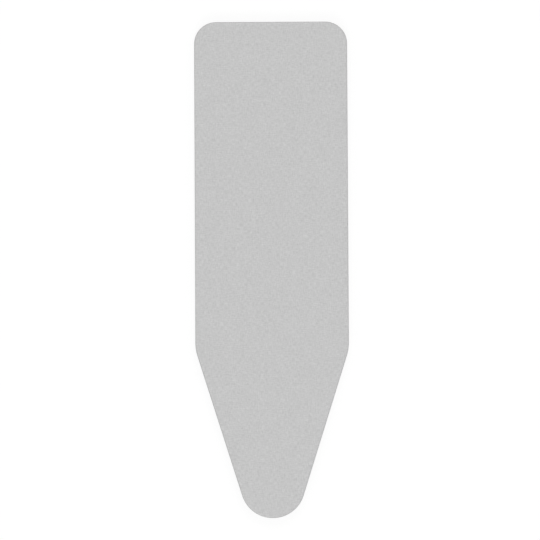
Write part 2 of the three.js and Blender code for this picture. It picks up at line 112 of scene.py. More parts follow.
# faces between rows of points, each with its uv
# closed joins each row's end to its start, and loopU is the u of that join on a tube
def gridPiece(name, rows, uvRows, closed=True, loopU=None):
    count = len(rows[0])
    points = [p for row in rows for p in row]
    uvs = [uv for row in uvRows for uv in row]
    faces, faceUvs = [], []
    for r in range(len(rows) - 1):
        for k in range(count if closed else count - 1):
            n = (k + 1) % count
            corners = (r * count + k, r * count + n, (r + 1) * count + n, (r + 1) * count + k)
            faces.append(corners)
            pairs = [uvs[c] for c in corners]
            if loopU and n == 0:
                pairs[1:3] = [(loopU, pair[1]) for pair in pairs[1:3]]
            faceUvs.extend(pairs)
    piece = meshPiece(name, points, faces)
    layer = piece.data.uv_layers.new(name="lay")
    for loop, uv in zip(layer.data, faceUvs):
        loop.uv = uv
    closeUp(piece)
    return piece

def dress(piece, finish, slot, *nodes, body="cover"):
    piece.data.materials.clear()
    piece.data.materials.append(finish)
    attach(piece, body)
    if nodes:
        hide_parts(*nodes)


# Helpers for node trees, which find their tree through a socket

def plug(value, socket):
    if isinstance(value, bpy.types.NodeSocket):
        socket.id_data.links.new(value, socket)
    else:
        socket.default_value = value

def addNode(tree, kind, *values, **named):  # inputs filled in their order or by name
    node = tree.nodes.new("ShaderNode" + kind)
    for value, socket in zip(values, node.inputs):
        plug(value, socket)
    for name, value in named.items():
        plug(value, node.inputs[name])
    return node

def calc(operation, *values):  # the first one is a socket
    node = addNode(values[0].id_data, "Math", *values)
    node.operation = operation
    return node.outputs[0]

def spread(value, fromLow, fromHigh, toLow, toHigh):
    return addNode(value.id_data, "MapRange", value, fromLow, fromHigh, toLow, toHigh).outputs[0]

def axesOf(place):
    return list(addNode(place.id_data, "SeparateXYZ", place).outputs)

def inPitches(value, pitch):
    return calc("MULTIPLY", value, 1 / pitch)

# noise with grains of these sizes in mm along x, y and z, turned about z by degrees, and curled
def speckle(place, sizes, detail, turn=0.0, curl=0.0):
    tree = place.id_data
    if turn:
        place = addNode(tree, "Mapping", Vector=place, Rotation=(0, 0, radians(turn))).outputs[0]
    place = addNode(tree, "Mapping", Vector=place, Scale=[1 / (size * mm) for size in sizes]).outputs[0]
    return addNode(tree, "TexNoise", Vector=place, Scale=1.0, Detail=detail, Distortion=curl).outputs[0]

def cells(place, size):  # distance from the middle of the nearest cell
    return addNode(place.id_data, "TexVoronoi", Vector=place, Scale=1 / size).outputs["Distance"]

def halfWaves(value):  # -1 to 1, a crest or a dip to a unit
    return calc("SINE", calc("MULTIPLY", value, pi))

def ridges(value):  # 0 to 1, one ridge to a unit
    return calc("ABSOLUTE", halfWaves(value))

# height of a plain weave, 0 to 1, one thread to a unit both ways
def weave(across, along):
    a, b = halfWaves(across), halfWaves(along)
    both = calc("MULTIPLY", a, b)
    warp = calc("ADD", calc("ABSOLUTE", a), both)
    weft = calc("SUBTRACT", calc("ABSOLUTE", b), both)
    return calc("MULTIPLY", calc("MAXIMUM", warp, weft), 0.5)

def blend(layers, weights):  # sum of named layers, each times its weight
    total = 0.0
    for name, weight in weights.items():
        total = calc("ADD", calc("MULTIPLY", layers[name], weight), total)
    return total


# Camera, light and floor

studio = {
    "pictureWidth": 1.3536,  # metres across the picture
    "pictureSideways": -4.4 * mm,
    "pictureTurn": -0.3,  # degrees
    "cameraHeight": 3.0,
    "skyHigh": 0.905,  # strength overhead
    "skyLow": 0.35,  # and at the horizon
    "lamps": [(0.46, 34, -4), (0.39, -34, 4)],  # strength, and degrees of lean about x and y
    "lampSpread": 24,  # degrees across, for soft shadows
    "floorSize": 12.0,
    "floorDrop": 0.3 * mm,
    "floorBounce": 0.66,  # its grey for the light that it throws back
    "floorShade": 0.16,  # how much of the shadow the camera sees
    "floorWhite": 1.02,  # in the open, as the camera sees it
    "paintedShadowReach": 20 * mm,  # of the painted shadow line under the rim
    "paintedShadowOpenness": (0.06, 0.5),  # openness where the painted shadow is darkest, and where it ends
    # share of the floor's glow taken away where the painted shadow is darkest
    "paintedShadowDepth": 0.7,
}

def grey(level):
    return level, level, level, 1

def seenRays(tree):  # 1 for rays that show the background itself
    path = addNode(tree, "LightPath").outputs
    shown = calc("MAXIMUM", path["Is Camera Ray"], path["Is Glossy Ray"])
    return calc("MAXIMUM", shown, path["Is Transmission Ray"])

def setUpCamera():
    clearSelection()
    bpy.context.scene.view_settings.view_transform = "Standard"
    bpy.ops.object.camera_add(location=(studio["pictureSideways"], 0, studio["cameraHeight"]),
                              rotation=(0, 0, radians(studio["pictureTurn"])))
    camera = bpy.context.object
    camera.name = "overheadCamera"
    camera.data.type = "ORTHO"
    camera.data.ortho_scale = studio["pictureWidth"]
    bpy.context.scene.camera = camera

def setUpLight():
    for strength, leanX, leanY in studio["lamps"]:
        bpy.ops.object.light_add(type="SUN", rotation=(radians(leanX), radians(leanY), 0))
        lamp = bpy.context.object.data
        lamp.energy = strength
        lamp.angle = radians(studio["lampSpread"])
    sky = bpy.data.worlds.new("studioSky")
    sky.use_nodes = True
    bpy.context.scene.world = sky
    tree = sky.node_tree
    light = tree.nodes["Background"]
    upward = axesOf(addNode(tree, "TexCoord").outputs["Generated"])[2]
    dome = spread(upward, 0, 1, studio["skyLow"], studio["skyHigh"])
    plug(grey(1), light.inputs["Color"])
    plug(calc("MAXIMUM", dome, seenRays(tree)), light.inputs["Strength"])

# the camera sees a white floor with some real shadow and a painted contact shadow, and a grey one lights
# the cover
def layFloor():
    bpy.ops.mesh.primitive_plane_add(size=studio["floorSize"], location=(0, 0, -studio["floorDrop"]))
    floor = bpy.context.object
    floor.name = "studioFloor"
    paint = bpy.data.materials.new("paleFloorPaintedShadow")
    paint.use_nodes = True
    tree = paint.node_tree
    tree.nodes.remove(tree.nodes["Principled BSDF"])
    openFloor = studio["floorWhite"] - studio["floorShade"]
    paintedShadowDarkest = openFloor * (1 - studio["paintedShadowDepth"])
    # painted contact shadow: the floor's glow is dimmed where ambient occlusion finds the cover near
    paintedShadowMask = addNode(tree, "AmbientOcclusion", Distance=studio["paintedShadowReach"]).outputs["AO"]
    strength = spread(paintedShadowMask, *studio["paintedShadowOpenness"], paintedShadowDarkest, openFloor)
    glowWithPaintedShadow = addNode(tree, "Emission", Strength=strength)
    shade = addNode(tree, "BsdfDiffuse", Color=grey(studio["floorShade"]))
    shown = addNode(tree, "AddShader", shade.outputs[0], glowWithPaintedShadow.outputs[0])
    bounce = addNode(tree, "BsdfDiffuse", Color=grey(studio["floorBounce"]))
    either = addNode(tree, "MixShader", seenRays(tree), bounce.outputs[0], shown.outputs[0])
    plug(either.outputs[0], tree.nodes["Material Output"].inputs["Surface"])
    floor.data.materials.append(paint)

setUpCamera()
setUpLight()
layFloor()
print("studio ready")


# Plan of the cover, on the same lines as the solids

plan = {
    "width": 385 * mm,  # across the shoulders
    "spread": 1.6 * mm,  # shoulders wider than the square end
    "shoulderFromEnd": 821 * mm,
    "cornerRadius": 55 * mm,
    "shoulderRadius": 110 * mm,
    "noseRadius": 81 * mm,
    "rimInset": 16 * mm,
    "bindingInset": 42 * mm,
    "hemInset": 58 * mm,
    "hemCornerRadius": 30 * mm,
    "hemZ": 10.6 * mm,
    "cornerWidens": (4 * mm, 44 * mm),  # insets, from the rim's corners to the hem's
    "cordGap": 18 * mm,  # half the gap where the cord comes out
    "steps": {"end": 60, "corner": 80, "side": 250, "shoulder": 14, "taper": 140, "nose": 90},
    "crowd": 0.45,  # of a straight's stations towards its ends
    "squareOff": 7 * mm,  # inset that shows which way is square to the outline
}
coverLow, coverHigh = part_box("top_cover")
endY, tipY, topZ = coverHigh.y, coverLow.y, coverHigh.z
shoulderPoint = Vector((plan["width"] / 2, endY - plan["shoulderFromEnd"]))
endCorner = Vector(((plan["width"] - plan["spread"]) / 2, endY))
noseCentre = Vector((0, tipY + plan["noseRadius"]))

def inward(turn):
    return Vector((sin(turn), -cos(turn)))

def forward(turn):
    return Vector((cos(turn), sin(turn)))

sideTurn = atan2(*(shoulderPoint - endCorner).yx)
toNose = noseCentre - shoulderPoint
taperTurn = atan2(*toNose.yx) + asin(plan["noseRadius"] / toNose.length)

def cornerRadiusAt(inset):  # the hem cuts the corners wider than the rim does
    wider = plan["hemCornerRadius"] + plan["hemInset"] - plan["cornerRadius"]
    return plan["cornerRadius"] - inset + wider * ease(inset, *plan["cornerWidens"])

def turnCentre(pointA, turnA, pointB, turnB, radius):  # of an arc that leads from one straight to the next
    a = pointA + inward(turnA) * radius
    b = pointB + inward(turnB) * radius
    ahead, beyond = forward(turnA), forward(turnB)
    return a + ahead * ((b - a).cross(beyond) / ahead.cross(beyond))

def arc(centre, radius, start, end, count):
    return [centre - inward(mix(start, end, share)) * radius for share in shares(count)]

# points round the +X half at an inset, from the middle of the square end to the nose's tip
def halfPlan(inset):
    steps = plan["steps"]
    onEnd = Vector((0, endY - inset))
    onSide = shoulderPoint + inward(sideTurn) * inset
    onTaper = shoulderPoint + inward(taperTurn) * inset
    corner, shoulder = cornerRadiusAt(inset), plan["shoulderRadius"] - inset
    cornerCentre = turnCentre(onEnd, 0, onSide, sideTurn, corner)
    shoulderCentre = turnCentre(onSide, sideTurn, onTaper, taperTurn, shoulder)
    arcs = [
        arc(cornerCentre, corner, 0, sideTurn, steps["corner"]),
        arc(shoulderCentre, shoulder, sideTurn, taperTurn, steps["shoulder"]),
        arc(noseCentre, plan["noseRadius"] - inset, taperTurn, -pi, steps["nose"]),
    ]
    points, last = [], onEnd
    for bend, straight in zip(arcs, ("end", "side", "taper")):
        for share in shares(steps[straight])[:-1]:
            points.append(last.lerp(bend[0], mix(share, ease(share), plan["crowd"])))
        points += bend[:-1]
        last = bend[-1]
    points.append(Vector((0, last.y)))
    return points

@lru_cache(maxsize=64)
def wholePlan(inset):
    half = halfPlan(inset)
    return half + [Vector((-p.x, p.y)) for p in half[-2:0:-1]]

outerPlan = wholePlan(0)
wholeHem = wholePlan(plan["hemInset"])
stationCount = len(outerPlan)
halfCount = stationCount // 2
outwardWay = [(p - q).normalized() for p, q in zip(outerPlan, wholePlan(plan["squareOff"]))]
print("plan of", stationCount, "stations")


# Folds that the tight cord draws into the cloth
# They are fine at the hem, twice as wide on the rim and four times as wide on the wall

gather = {
    "sizes": {  # in mm, on the straights, at the corners and round the nose
        "wave": (13, 6.2, 5.6),  # of a fine fold, along the hem
        "fine": (0.5, 1.25, 1.5),
        "pucker": (0.45, 2.0, 2.4),
        "broad": (0.5, 2.4, 3.0),
    },
    "noseReach": (90 * mm, 200 * mm),  # from the tip, where its folds fade out
    "cornerReach": (60 * mm, 120 * mm),
    "strapReach": (16 * mm, 50 * mm),  # the hem is drawn flat at the hooks
    "pinch": 1.7,  # above 1 makes the valleys narrow and the crests round
    "second": (0.2, 0.7),  # share and shift of the shorter wave in the fine folds
    "restShare": 0.55,  # of the broad folds, pressed out where the rim rests
    "wallShare": 0.6,  # of the puckers, on the lower wall
    "softRim": 0.8 * mm,  # lift of the rim between its places of rest
    "softWaves": 8,  # to a metre
    "pull": 0.3 * mm,  # unevenness of the wall
    "pullWaves": (28, 9.8),  # to a metre, along the wall and down it
    "tapeShare": 0.34,  # of the fine folds, kept by the outer edge of the tape
    "tapeFlat": (43 * mm, 52.4 * mm),  # insets between which they die away on it
    "sway": 0.25 * mm,
    "restRun": (34 * mm, 47 * mm),  # down from the top edge
    "tapeRun": (77 * mm, 84 * mm),
    "runs": {  # mm down from the top edge, where folds come in and where they die away
        "broad": ((6, 34), (50, 70)),
        "pucker": ((40, 60), (64, 84)),
        "wallPucker": ((14, 33), (36, 47)),
        "fine": ((52, 74), (77, 84)),
        "pull": ((11, 22), (34, 46)),
    },
    "drift": {  # amount, waves to a metre and shift of the noise that makes folds unlike
        "phase": (2.2, 45, (0, 0, 0)),
        "halfPhase": (2.0, 30, (5, 0, 0)),
        "quarterPhase": (1.5, 20, (0, 9, 0)),
        "uneven": (1.1, 60, (0, 0, 3)),
        "patchy": (1.2, 35, (0, 4, 8)),
    },
}
strapYs = [middleOf(node).y for node in ("strap_wide_end", "strap_shoulder")]

def drift(name, spot):
    amount, waves, shift = gather["drift"][name]
    return amount * noise(spot * waves + Vector(shift))

def foldSize(kind, k):
    p, (straight, corner, nose) = outerPlan[k], gather["sizes"][kind]
    nearNose = 1 - ease(p.y - tipY, *gather["noseReach"])
    nearCorner = 1 - ease((Vector((abs(p.x), p.y)) - endCorner).length, *gather["cornerReach"])
    return mm * (straight + nearNose * (nose - straight) + nearCorner * (corner - straight))

def pinched(angle):
    return ((1 + sin(angle)) / 2) ** gather["pinch"]

def planGathers():
    line = wholePlan(plan["bindingInset"])
    phase, total = [], 0.0
    for k, p in enumerate(line):
        phase.append(total)
        total += (line[(k + 1) % stationCount] - p).length / foldSize("wave", k)
    turns = 4 * round(total / 4)  # so that the widest folds meet where the line closes
    secondShare, secondShift = gather["second"]
    broad, pucker, fine, sway = [], [], [], []
    for k, p in enumerate(line):
        spot = p.to_3d()
        angle = 2 * pi * phase[k] * turns / total + drift("phase", spot)
        slow = angle / 2 + drift("halfPhase", spot)
        slower = slow / 2 + drift("quarterPhase", spot)
        uneven = 1 + drift("uneven", spot)
        patchy = 1 + drift("patchy", spot)
        calm = min(ease(abs(p.y - y), *gather["strapReach"]) for y in strapYs)
        lift = gather["softRim"] * max(0.0, noise(outerPlan[k].to_3d() * gather["softWaves"]))
        crimp = mix(sin(angle), sin(2 * angle + secondShift), secondShare)
        broad.append(foldSize("broad", k) * patchy * pinched(slower) + lift)
        pucker.append(foldSize("pucker", k) * uneven * pinched(slow))
        fine.append(foldSize("fine", k) * uneven * calm * crimp)
        sway.append(gather["sway"] * calm * sin(slow))
    return broad, pucker, fine, sway

broadFolds, puckers, fineFolds, hemSway = planGathers()

def tapeLift(k, inset):  # how the bound edge rides up and down
    return hemSway[k] + gather["tapeShare"] * fineFolds[k] * (1 - ease(inset, *gather["tapeFlat"]))

def foldShare(kind, run):
    comesIn, diesAway = gather["runs"][kind]
    return ease(run / mm, *comesIn) * (1 - ease(run / mm, *diesAway))

def foldDepth(k, run, inset):  # how far the cloth lies inside its smooth section
    along, down = gather["pullWaves"]
    spot = Vector((outerPlan[k].x * along, outerPlan[k].y * along, run * down))
    rests = 1 - gather["restShare"] * ease(run, *gather["restRun"])
    folds = foldShare("broad", run) * rests * broadFolds[k]
    folds += (foldShare("pucker", run) + gather["wallShare"] * foldShare("wallPucker", run)) * puckers[k]
    folds += foldShare("fine", run) * fineFolds[k]
    folds += ease(run, *gather["tapeRun"]) * tapeLift(k, inset)
    return folds + foldShare("pull", run) * gather["pull"] * noise(spot)

print("folds planned")


# Finishes
# A look names its grains, with their sizes in mm and their detail
# It then says how much of each layer goes into the tone, relief and shine

def newFinish(name, look, makeLayers=None):
    finish = bpy.data.materials.new(name)
    finish.use_nodes = True
    tree = finish.node_tree
    place = addNode(tree, "TexCoord").outputs[look.get("on", "Object")]
    layers = {title: speckle(place, *grain) for title, grain in look["grains"].items()}
    if makeLayers:
        layers.update(makeLayers(place, look))
    ramp = addNode(tree, "ValToRGB", blend(layers, look["tone"]))
    for element, colour in zip(ramp.color_ramp.elements, look["colours"]):
        element.color = (*colour, 1)
    bump = addNode(tree, "Bump", Distance=look["depth"], Height=blend(layers, look["relief"]))
    roughness = look["roughness"]
    if "shine" in look:
        roughness = spread(blend(layers, look["shine"]), 0, 1, *roughness)
    inputs = tree.nodes["Principled BSDF"].inputs
    plug(ramp.outputs[0], inputs["Base Color"])
    plug(bump.outputs[0], inputs["Normal"])
    plug(roughness, inputs["Roughness"])
    plug(look.get("metallic", 0.0), inputs["Metallic"])
    plug(look.get("sheen", 0.0), inputs["Sheen Weight"])
    return finish

def cottonWeave(place, look):
    across, along = [inPitches(way, look["thread"]) for way in axesOf(place)[:2]]
    return {"weave": weave(across, along)}

cottonFinish = newFinish("metallisedCotton", {
    "on": "UV",
    "thread": 0.55 * mm,
    "grains": {
        "slub": ((0.5, 9, 1), 1),  # uneven warp yarns
        "pick": ((8, 0.5, 1), 1),  # uneven weft yarns
        "warpYarn": ((2.6, 10, 1), 2),  # their thicker stretches
        "weftYarn": ((10, 2.6, 1), 2),
        "cloud": ((40, 55, 1), 2),
    },
    "tone": {"weave": 0.1, "slub": 0.08, "pick": 0.08, "warpYarn": 0.34, "weftYarn": 0.34, "cloud": 0.06},
    "relief": {"weave": 0.75, "slub": 0.15, "pick": 0.1},
    "shine": {"weave": 0.4, "warpYarn": 0.3, "weftYarn": 0.3},
    "colours": ((0.257, 0.257, 0.257), (0.813, 0.813, 0.813)),
    "metallic": 0.35,
    "sheen": 0.35,
    "roughness": (0.4, 0.56),
    "depth": 0.09 * mm,
}, cottonWeave)

def foamCells(place, look):
    return {"cells": cells(place, look["cell"])}

foamFinish = newFinish("openCellFoam", {
    "cell": 0.9 * mm,
    "grains": {"cloud": ((30, 30, 30), 2)},
    "tone": {"cells": 0.7, "cloud": 0.4},
    "relief": {"cells": 1.0},
    "colours": ((0.62, 0.58, 0.46), (0.84, 0.81, 0.70)),
    "roughness": 0.95,
    "depth": 0.35 * mm,
}, foamCells)

def feltFibres(place, look):  # thin curved fibres along the level lines of a stretched noise
    fibres = 0.0
    for turn in look["fibreTurns"]:
        level = speckle(place, look["fibre"], 1, turn, look["fibreCurl"])
        off = calc("ABSOLUTE", calc("SUBTRACT", level, 0.5))
        fibres = calc("MAXIMUM", spread(off, 0, look["fibreHalf"], 1, 0), fibres)
    marks = cells(place, look["needlePitch"])
    return {"fibres": fibres, "needled": spread(marks, 0, look["needleMark"], 0, 1)}

feltFinish = newFinish("needledFelt", {
    "fibre": (0.55, 4.5, 1),  # mm
    "fibreTurns": (12, 71, 128),  # degrees
    "fibreCurl": 0.8,
    "fibreHalf": 1 / 9,  # half a fibre's width, in levels of the noise
    "needlePitch": 2.4 * mm,
    "needleMark": 1 / 3,  # its width as a share of the pitch
    "grains": {"fuzz": ((0.6, 0.6, 0.6), 3), "mat": ((5, 5, 5), 3), "cloud": ((55, 55, 55), 2)},
    "tone": {"fibres": 0.15, "fuzz": 0.27, "mat": 0.28, "cloud": 0.2, "needled": 0.1},
    "relief": {"fibres": 0.3, "fuzz": 0.3, "mat": 0.2, "needled": 0.3},
    "colours": ((0.42, 0.41, 0.385), (0.92, 0.905, 0.86)),
    "roughness": 0.95,
    "sheen": 0.25,
    "depth": 0.35 * mm,
}, feltFibres)

def tapeTwill(place, look):
    u, v = axesOf(place)[:2]
    across = inPitches(v, look["thread"])
    shifted = calc("MULTIPLY", across, look["slant"])
    slanted = calc("ADD", inPitches(u, look["twill"]), shifted)
    return {"rib": ridges(slanted), "cross": ridges(across)}

tapeFinish = newFinish("twillTape", {
    "on": "UV",
    "twill": 0.62 * mm,  # from rib to rib along the tape
    "thread": 0.5 * mm,  # across it
    "slant": 0.5,  # of a rib, from thread to thread
    "grains": {"fuzz": ((0.9, 0.6, 1), 3), "cloud": ((25, 9, 1), 2)},
    "tone": {"rib": 0.26, "cross": 0.14, "fuzz": 0.3, "cloud": 0.3},
    "relief": {"rib": 0.52, "cross": 0.28, "fuzz": 0.2},
    "colours": ((0.58, 0.58, 0.57), (0.86, 0.86, 0.85)),
    "roughness": 0.82,
    "sheen": 0.15,
    "depth": 0.13 * mm,
}, tapeTwill)

def cordBraid(place, look):
    u, v = axesOf(place)[:2]
    turn = calc("MULTIPLY", u, look["strands"])
    run = calc("MULTIPLY", v, look["strands"] / look["girth"] * look["lay"])
    return {"braid": weave(calc("ADD", turn, run), calc("SUBTRACT", turn, run))}

cordFinish = newFinish("braidedElastic", {
    "on": "UV",  # u is 0 to 1 round the cord, so 20 mm there is a fiftieth of a turn
    "strands": 12,  # round the braid
    "girth": 9.4 * mm,
    "lay": 0.75,  # along the cord to across it
    "grains": {"fuzz": ((20, 0.5, 1), 2)},
    "tone": {"braid": 0.65, "fuzz": 0.35},
    "relief": {"braid": 1.0},
    "colours": ((0.55, 0.55, 0.54), (0.95, 0.95, 0.93)),
    "roughness": 0.75,
    "sheen": 0.15,
    "depth": 0.2 * mm,
}, cordBraid)

def strapRibs(place, look):
    u, v = axesOf(place)[:2]
    return {"rib": ridges(inPitches(v, look["rib"])),
            "pick": ridges(inPitches(u, look["pick"]))}

strapFinish = newFinish("ribbedElastic", {
    "on": "UV",
    "rib": 1.25 * mm,  # as modelled on the straps
    "pick": 0.7 * mm,
    "grains": {"fuzz": ((1.2, 0.5, 1), 3), "cloud": ((40, 12, 1), 2)},
    "tone": {"rib": 0.315, "pick": 0.135, "fuzz": 0.3, "cloud": 0.25},
    "relief": {"pick": 0.7, "fuzz": 0.3},
    "colours": ((0.56, 0.56, 0.54), (0.95, 0.95, 0.92)),
    "roughness": 0.8,
    "sheen": 0.12,
    "depth": 0.09 * mm,
}, strapRibs)

threadFinish = newFinish("sewingThread", {
    "grains": {"twist": ((0.35, 0.35, 0.2), 2)},
    "tone": {"twist": 1.0},
    "relief": {"twist": 1.0},
    "colours": ((0.50, 0.50, 0.51), (0.82, 0.82, 0.82)),
    "roughness": 0.6,
    "sheen": 0.2,
    "depth": 0.08 * mm,
})

steelFinish = newFinish("drawnSteel", {
    "grains": {"draw": ((0.1, 0.5, 0.5), 2)},
    "tone": {"draw": 1.0},
    "relief": {"draw": 1.0},
    "shine": {"draw": 1.0},
    "colours": ((0.36, 0.37, 0.39), (0.62, 0.63, 0.65)),
    "metallic": 1.0,
    "roughness": (0.2, 0.42),
    "depth": 0.01 * mm,
})

mouldedLook = {
    "grains": {"spark": ((0.16, 0.16, 0.16), 2), "flow": ((7, 4, 4), 2)},  # spark is the eroded mould skin
    "tone": {"spark": 0.45, "flow": 0.55},
    "relief": {"spark": 0.75, "flow": 0.25},
    "shine": {"spark": 0.5, "flow": 0.5},
    "depth": 0.02 * mm,
}
lockFinish = newFinish("lockPlastic", {
    **mouldedLook,
    "colours": ((0.030, 0.032, 0.036), (0.058, 0.061, 0.067)),
    "roughness": (0.34, 0.52),
})
buttonFinish = newFinish("buttonPlastic", {
    **mouldedLook,
    "colours": ((0.052, 0.055, 0.061), (0.09, 0.094, 0.103)),
    "roughness": (0.34, 0.5),
})
hookFinish = newFinish("hookPlastic", {
    **mouldedLook,
    "colours": ((0.69, 0.69, 0.67), (0.83, 0.83, 0.81)),
    "roughness": (0.26, 0.42),
})
print("finishes ready")


# Elastic cord and its knot

cordLay = {
    "radius": 1.5 * mm,
    "inset": 55.4 * mm,
    "turnRadius": 16 * mm,
    "levelShare": 0.65,  # of the turn in which the cord changes level
    "stack": 1.65 * mm,  # of each end above or below the lock's middle
    "tailPastKnot": 10.6 * mm,
    "sides": 16,
    "endSteps": 24,  # on each end's straight, and on its turn
    "hemStep": 3,  # stations from point to point in the hem
}
roundTip = [(0.0, 0.55), (0.62, 0.42), (0.92, 0.16), (1.0, 0.0)]  # width and reach of its rings, in radii
lockLow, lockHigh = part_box("cord_lock_body")
lockZ = (lockLow.z + lockHigh.z) / 2
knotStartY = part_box("cord_knot")[1].y
tailStartY = endY - cordLay["inset"] - cordLay["turnRadius"]

def tube(name, path, radius, sides):
    rows, uvRows, run = [], [], 0.0
    last = len(path) - 1
    sideways = (path[1] - path[0]).normalized().orthogonal().normalized()
    for k, point in enumerate(path):
        ahead = (path[min(k + 1, last)] - path[max(k - 1, 0)]).normalized()
        sideways = (sideways - ahead * sideways.dot(ahead)).normalized()
        upright = ahead.cross(sideways)
        run += (point - path[k - 1]).length if k else 0
        rings = {0: roundTip, last: roundTip[::-1]}.get(k, [(1.0, 0.0)])
        out = ahead if k else -ahead
        for width, reach in rings:
            ring = []
            for s in range(sides):
                angle = 2 * pi * s / sides
                spoke = sideways * cos(angle) + upright * sin(angle)
                ring.append(point + out * (reach * radius) + spoke * (width * radius))
            rows.append(ring)
            uvRows.append([(s / sides, run) for s in range(sides)])
    return gridPiece(name, rows, uvRows, loopU=1.0)

def cordEnd(side):  # from past the knot, through the lock and round into the hem
    level, radius = lockZ - side * cordLay["stack"], cordLay["turnRadius"]
    steps, tip = shares(cordLay["endSteps"]), knotStartY - cordLay["tailPastKnot"]
    points = [Vector((0, mix(tip, tailStartY, share), level)) for share in steps[:-1]]
    for share in steps:
        angle = share * pi / 2
        rise = ease(share, 1 - cordLay["levelShare"], 1)
        points.append(Vector((side * radius * (1 - cos(angle)), tailStartY + radius * sin(angle),
                              mix(level, plan["hemZ"], rise))))
    return points

def hemStations(step=1):  # round the hem, without the gap at the square end
    kept = [k for k, p in enumerate(wholeHem) if p.y <= 0 or abs(p.x) >= plan["cordGap"]]
    return kept[::step] + ([kept[-1]] if (len(kept) - 1) % step else [])

def makeCord():
    inset, radius = cordLay["inset"], cordLay["radius"]
    hem, stations = wholePlan(inset), hemStations(cordLay["hemStep"])
    inHem = [Vector((*hem[k], plan["hemZ"] + tapeLift(k, inset))) for k in stations]
    path = cordEnd(1) + inHem + cordEnd(-1)[::-1]
    cord = tube("drawCord", path, radius, cordLay["sides"])
    dress(cord, cordFinish, "cord", "draw_cord")

tie = {
    "turns": 2.3,
    "pitch": 3.08 * mm,
    "start": 2.2 * mm,
    "startShare": 0.3,  # of a turn, where the first wrap begins
    "gap": 0.03 * mm,  # between the wraps and the cords inside them
    "tuck": 0.1,  # share at each end that goes in between the cords
    "tuckReach": 0.35,
    "stepsPerTurn": 40,
}

def roundBoth(run, bend, stack):  # x and z at a run round two cords, one above the other
    half = pi * bend + 2 * stack
    side = 1 if run < half else -1
    angle = min(run % half / bend, pi)
    down = max(0.0, run % half - pi * bend)  # along the straight beside both
    return side * bend * cos(angle), side * (stack + bend * sin(angle) - down)

def makeKnot():
    radius, stack = cordLay["radius"], cordLay["stack"]
    bend = 2 * radius + tie["gap"]
    lap = 2 * pi * bend + 4 * stack
    path = []
    for share in shares(int(tie["turns"] * tie["stepsPerTurn"])):
        turned = share * tie["turns"]
        tuck = min(1.0, share / tie["tuck"], (1 - share) / tie["tuck"])
        reach = mix(tie["tuckReach"], 1.0, ease(tuck))
        x, z = roundBoth((turned + tie["startShare"]) % 1 * lap, bend, stack)
        y = knotStartY - tie["start"] - turned * tie["pitch"]
        path.append(Vector((x * reach, y, lockZ + z * reach)))
    knot = tube("cordKnot", path, radius, cordLay["sides"])
    dress(knot, cordFinish, "cord", "cord_knot")

makeCord()
makeKnot()
print("cord and knot made")


# Cover of metallised cotton

cloth = {
    "thickness": 0.8 * mm,
    "edgeRadius": 3.6 * mm,
    "rimRadius": 6 * mm,
    "slopeEnd": 38 * mm,  # inset where the cloth is up at the hem's level
    "clothEnd": 53.3 * mm,  # inset of the cut edge inside the binding
    "floorInset": 30 * mm,  # as far in as this, folds stay above the floor
    "swell": 0.32 * mm,  # soft hollows of the ironing face
    "swellShares": (0.5, 0.45),  # of it, even and uneven
    "swellFade": 22 * mm,  # from its edge
    "swellWaves": [(1.0, 11, 8, 0.4), (0.5, 26, 19, 2.4)],  # share, waves to a metre along x and y, shift
    "spineEndY": 0.43,  # end of the middle line that the top's rows run in to
    "topShares": (1.0, 0.86, 0.72, 0.59, 0.47, 0.36, 0.26, 0.17, 0.1, 0.05, 0.02),  # of the way in
    "innerShares": (0.05, 0.25, 0.6, 1.0),
    "rows": (6, 6, 5, 3, 11, 4),  # on the edge, wall, rim, flat, slope and hem
    "innerRows": (3, 4, 3, 1, 7, 1),
    "flatSize": (0.56, 1.42),  # as cut
    "flatArea": 0.66,
}
# runs down the section to the end of each stretch
edgeRun = cloth["edgeRadius"] * pi / 2
wallRun = edgeRun + topZ - cloth["edgeRadius"] - cloth["rimRadius"]
rimRun = wallRun + cloth["rimRadius"] * pi / 2
flatRun = rimRun + plan["rimInset"] - cloth["rimRadius"]
slopeRun = rimRun + cloth["slopeEnd"] - cloth["rimRadius"]
hemRun = rimRun + cloth["clothEnd"] - cloth["rimRadius"]

# the smooth section at a run down from the top edge: inset, height and the way into the cloth
def sectionAt(run):
    edge, rim = cloth["edgeRadius"], cloth["rimRadius"]
    if run < edgeRun:
        across, down = sin(run / edge), cos(run / edge)
        return edge * (1 - across), topZ - edge * (1 - down), across, -down
    if run < wallRun:
        return 0.0, topZ - edge - (run - edgeRun), 1.0, 0.0
    if run < rimRun:
        across, up = cos((run - wallRun) / rim), sin((run - wallRun) / rim)
        return rim * (1 - across), rim * (1 - up), across, up
    inset = rim + run - rimRun
    span = cloth["slopeEnd"] - plan["rimInset"]
    share = min(1.0, max(0.0, (inset - plan["rimInset"]) / span))
    hemFace = plan["hemZ"] - cloth["thickness"] / 2
    rise = hemFace / span * 6 * share * (1 - share)  # slope of the eased height
    return inset, hemFace * ease(share), -rise / hypot(rise, 1), 1 / hypot(rise, 1)

def sectionRuns(counts):  # rows down the section, a count for each stretch
    runs, last = [], 0.0
    for end, count in zip((edgeRun, wallRun, rimRun, flatRun, slopeRun, hemRun), counts):
        runs += [mix(last, end, share) for share in shares(count)[:-1]]
        last = end
    return runs + [last]

def clothRow(run, depth):
    row, uvRow = [], []
    inset, height, into, up = sectionAt(run)
    lowest = depth if inset < cloth["floorInset"] else 0
    topEdge = wholePlan(cloth["edgeRadius"])
    for k, p in enumerate(wholePlan(inset)):
        inside = depth + foldDepth(k, run, inset)
        at = p - outwardWay[k] * (inside * into)
        row.append(Vector((*at, max(height + inside * up, lowest))))
        uvRow.append((topEdge[k] + outwardWay[k] * run)[:])  # laid out as it was cut
    return row, uvRow

